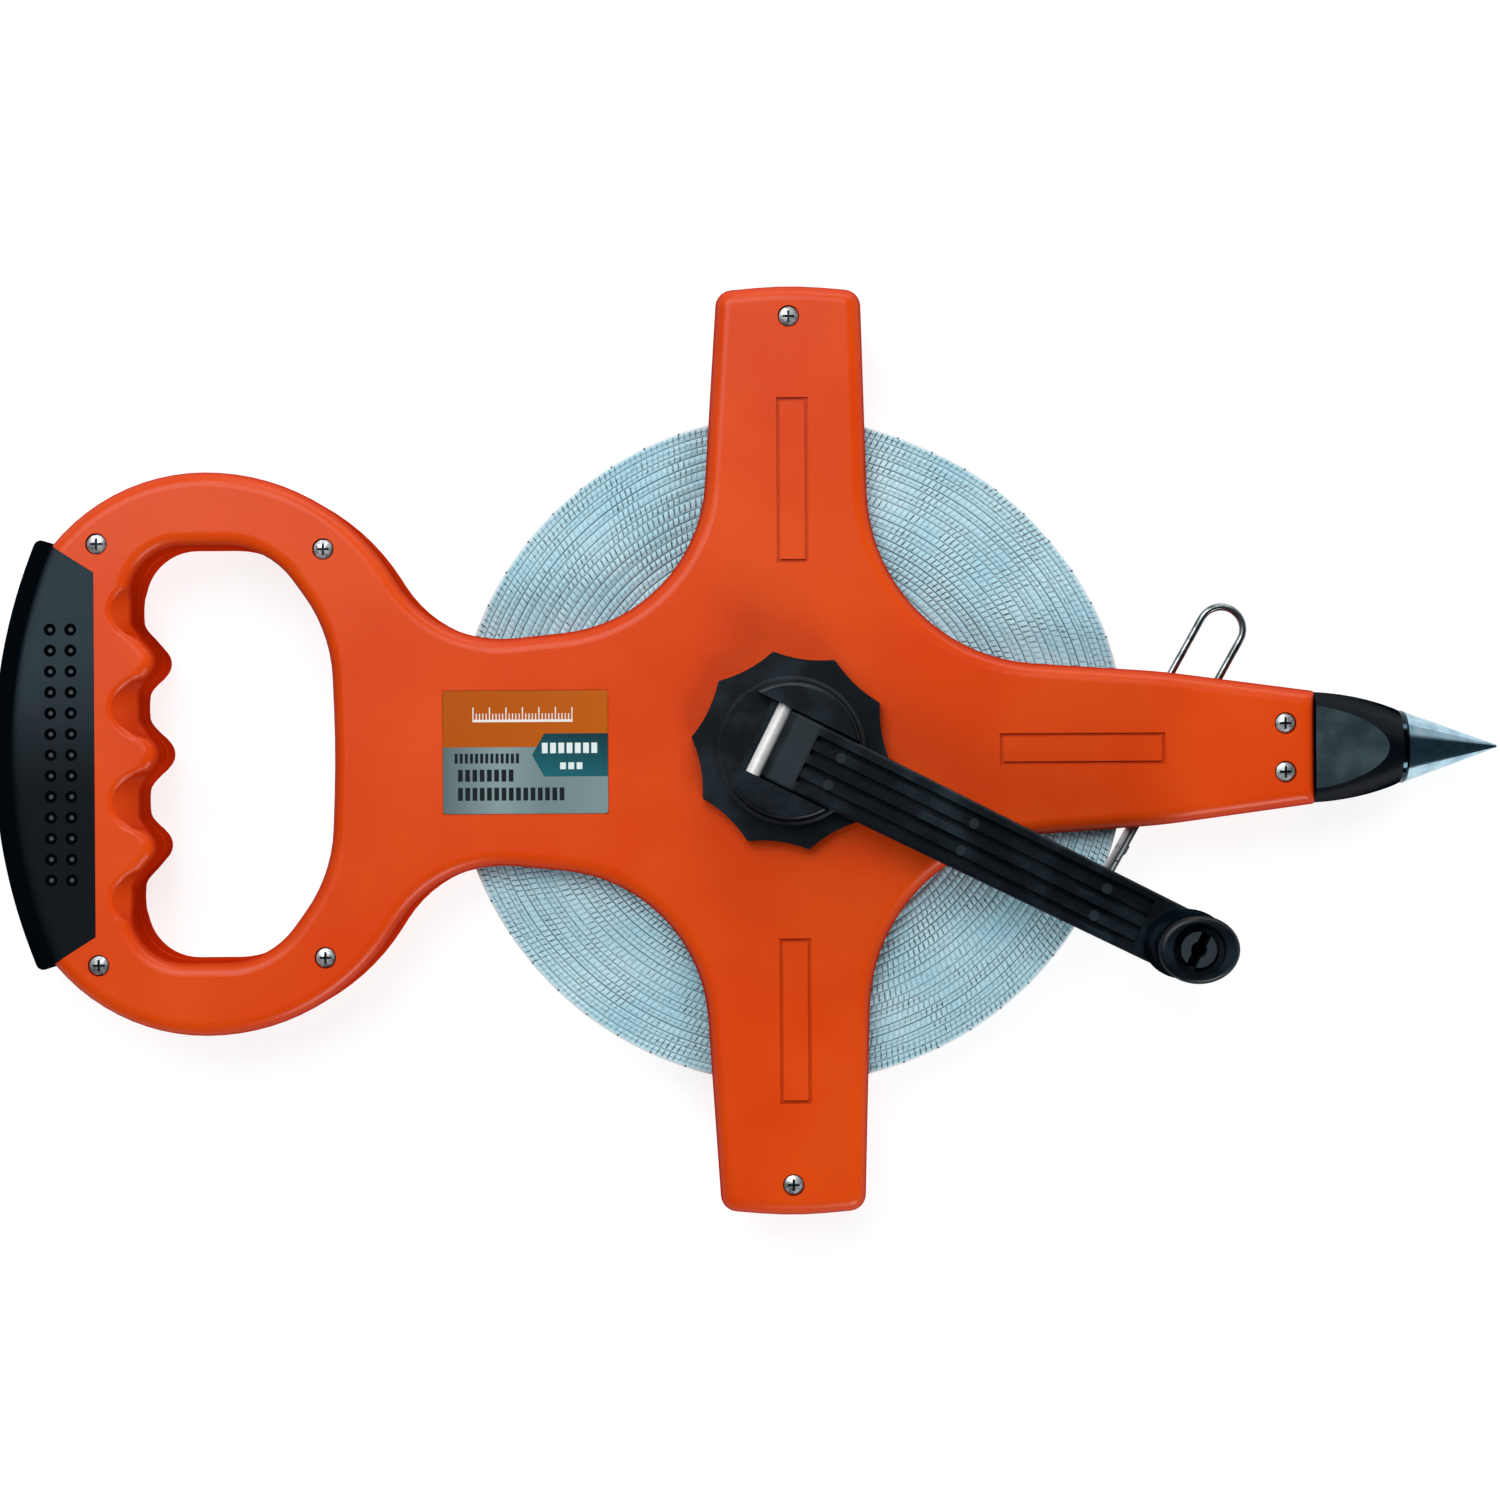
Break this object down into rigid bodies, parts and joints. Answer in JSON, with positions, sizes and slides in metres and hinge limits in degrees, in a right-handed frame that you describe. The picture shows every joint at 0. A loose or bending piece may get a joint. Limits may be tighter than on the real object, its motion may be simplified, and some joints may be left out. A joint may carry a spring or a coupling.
{
  "type": "surveyor tape reel",
  "caption": "Open-frame surveyor's tape reel: hand-grip frame, wound tape on a turning drum, folding crank with a spinning knob, wire hook and a ground spike.",
  "frame": {"origin": "on the drum's axis, at the plane of the rear face that the reel rests on", "axes": "+Z along the drum's axis towards the crank, +X along the nose towards the ground spike, +Y along one side arm"},
  "size_m": [0.4007, 0.2452, 0.072],
  "materials": {
    "orange_shell": "satin moulded shell",
    "grip_rubber": "soft matt boot",
    "black_plastic": "fine satin moulding",
    "plated_steel": "bright plating",
    "plated_screw": "plated",
    "brass_bush": "turned",
    "steel_plate": "pressed sheet",
    "drum_plastic": "plain moulding",
    "tape": "coated woven tape",
    "label": "printed film"
  },
  "bodies": {
    "frame": {"front_shell": "orange_shell", "rear_shell": "orange_shell", "handle_grip": "grip_rubber", "nose_socket": "black_plastic", "spike": "plated_steel", "spike_insert": "brass_bush", "handle_screws": "plated_screw", "arm_screws": "plated_screw", "nose_screws": "plated_screw", "label_plate": "label", "tape_tail": "tape", "tape_end_clamp": "steel_plate", "clamp_rivets": "plated_screw"},
    "drum": {"drum_core": "drum_plastic", "tape_coil": "tape", "tape_anchor": "drum_plastic", "crank_hub": "black_plastic", "hinge_pin": "plated_steel", "axle_screw": "plated_screw", "axle_washer": "steel_plate"},
    "crank": {"crank_arm": "black_plastic"},
    "knob": {"crank_knob": "black_plastic"},
    "hook": {"wire_hook": "plated_steel"}
  },
  "joints": [
    {"name": "drum_spin", "type": "hinge", "parent": "frame", "child": "drum", "pos_m": [0, 0, 0], "axis": [0, 0, 1], "continuous": true},
    {"name": "crank_fold", "type": "hinge", "parent": "drum", "child": "crank", "pos_m": [-0.00573, 0.00286, 0.0402], "axis": [-0.4462, -0.8949, 0], "range_deg": [0, 166]},
    {"name": "knob_spin", "type": "hinge", "parent": "crank", "child": "knob", "pos_m": [0.10157, -0.05064, 0.0444], "axis": [0, 0, 1], "continuous": true},
    {"name": "hook_swing", "type": "hinge", "parent": "frame", "child": "hook", "pos_m": [0.09381, -0.01838, 0.015], "axis": [0, 0, 1], "range_deg": [-2.5, 2.5]}
  ]
}
